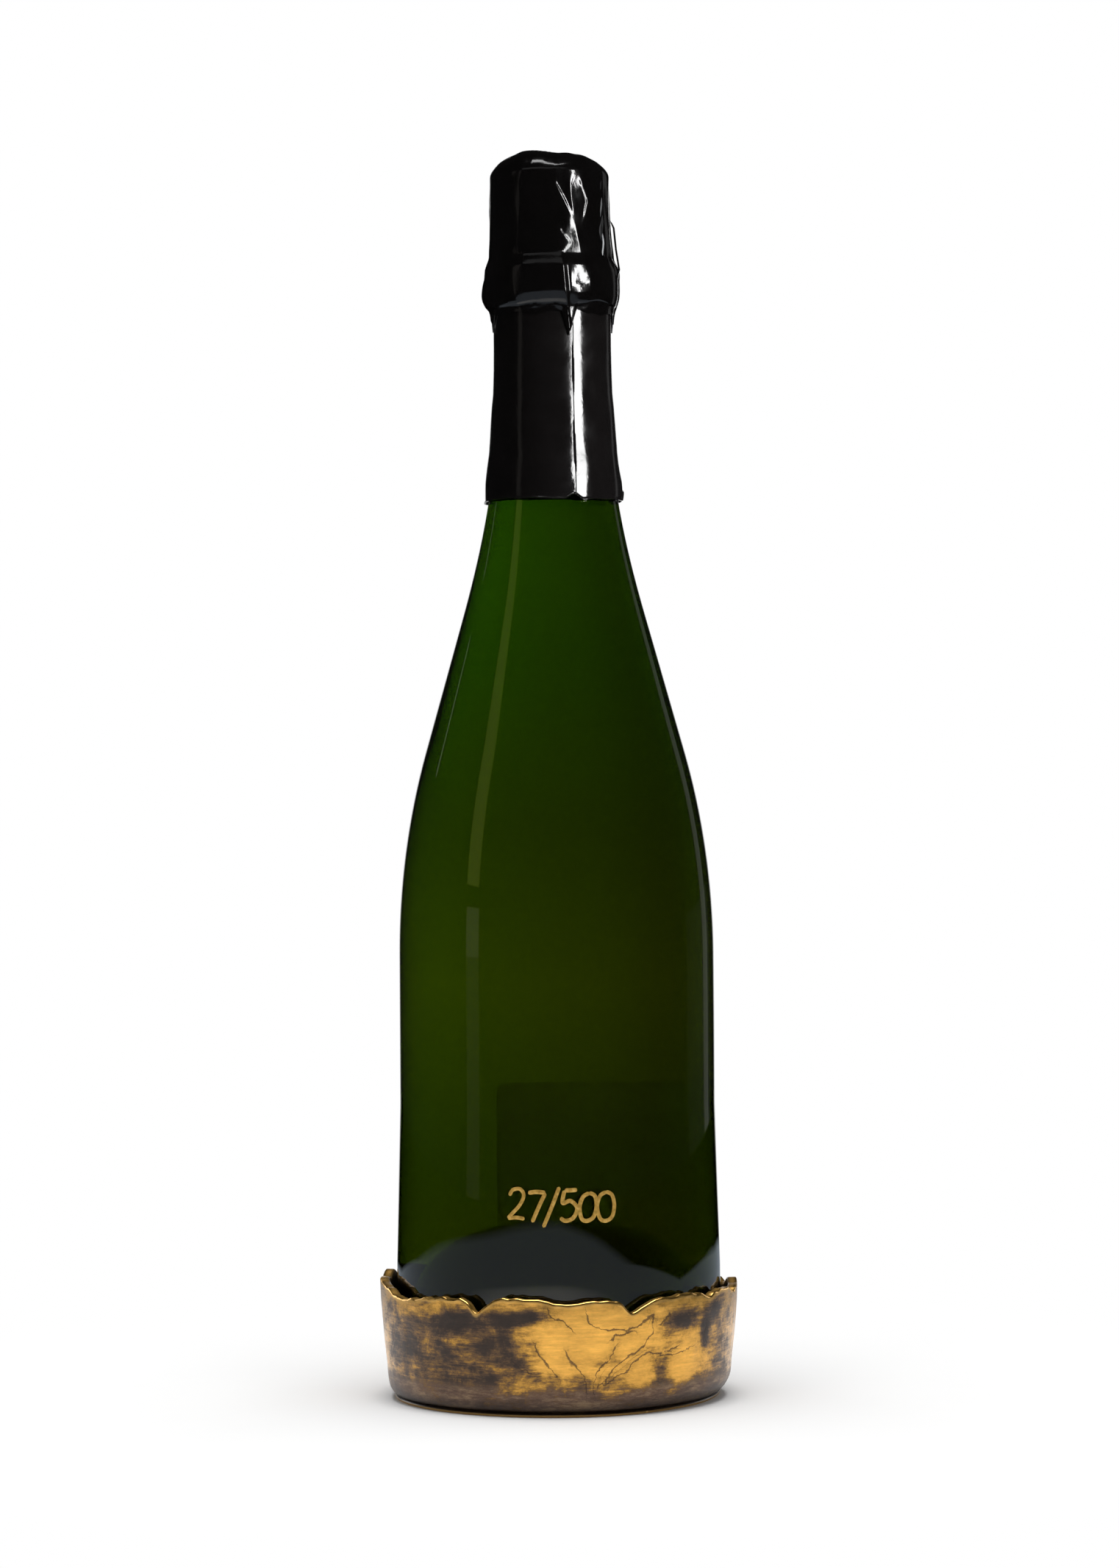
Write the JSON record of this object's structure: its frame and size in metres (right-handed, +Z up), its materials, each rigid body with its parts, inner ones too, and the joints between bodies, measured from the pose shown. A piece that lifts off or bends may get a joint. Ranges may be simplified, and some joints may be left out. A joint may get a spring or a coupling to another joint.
{
  "type": "sparkling wine bottle",
  "caption": "Dark green sparkling wine bottle with wired cork under a pleated foil hood, standing in a cast metal base with a torn rim.",
  "frame": {"origin": "centre of the base's underside, on the surface it stands on", "axes": "+Z up along the bottle's axis, -Y towards the viewer of the front, +X to the viewer's right"},
  "size_m": [0.0972, 0.0972, 0.337],
  "materials": {
    "cast_brass": "cast, patinated and polished back to gold",
    "green_glass": "moulded bottle glass, glossy",
    "wine": "clear liquid",
    "black_foil": "black lacquered foil, glossy",
    "label_paper": "uncoated paper, blank",
    "granule_cork": "pressed cork granules",
    "natural_cork": "natural cork with pores",
    "plaque_steel": "lacquered gold colour, glossy",
    "steel_wire": "galvanised wire"
  },
  "bodies": {
    "base": {"base_cup": "cast_brass"},
    "bottle": {"glass_bottle": "green_glass", "wine": "wine", "foil_sleeve": "black_foil", "back_label": "label_paper"},
    "cork": {"cork_body": "granule_cork", "cork_disc_upper": "natural_cork", "cork_disc_lower": "natural_cork"},
    "cage": {"cap_plaque": "plaque_steel", "wire_cage": "steel_wire", "cage_belt": "steel_wire"},
    "hood": {"foil_hood": "black_foil", "hood_skirt": "black_foil"}
  },
  "joints": [
    {"name": "bottle_lift", "type": "slide", "parent": "base", "child": "bottle", "axis": [0, 0, 1], "range_m": [0, 0.04]},
    {"name": "cork_pull", "type": "slide", "parent": "bottle", "child": "cork", "axis": [0, 0, 1], "range_m": [0, 0.03], "deforming": ["cage_belt"]},
    {"name": "cage_lift", "type": "slide", "parent": "cork", "child": "cage", "axis": [0, 0, 1], "range_m": [0, 0.045]},
    {"name": "hood_lift", "type": "slide", "parent": "cage", "child": "hood", "axis": [0, 0, 1], "range_m": [0, 0.05], "deforming": ["hood_skirt"]}
  ]
}
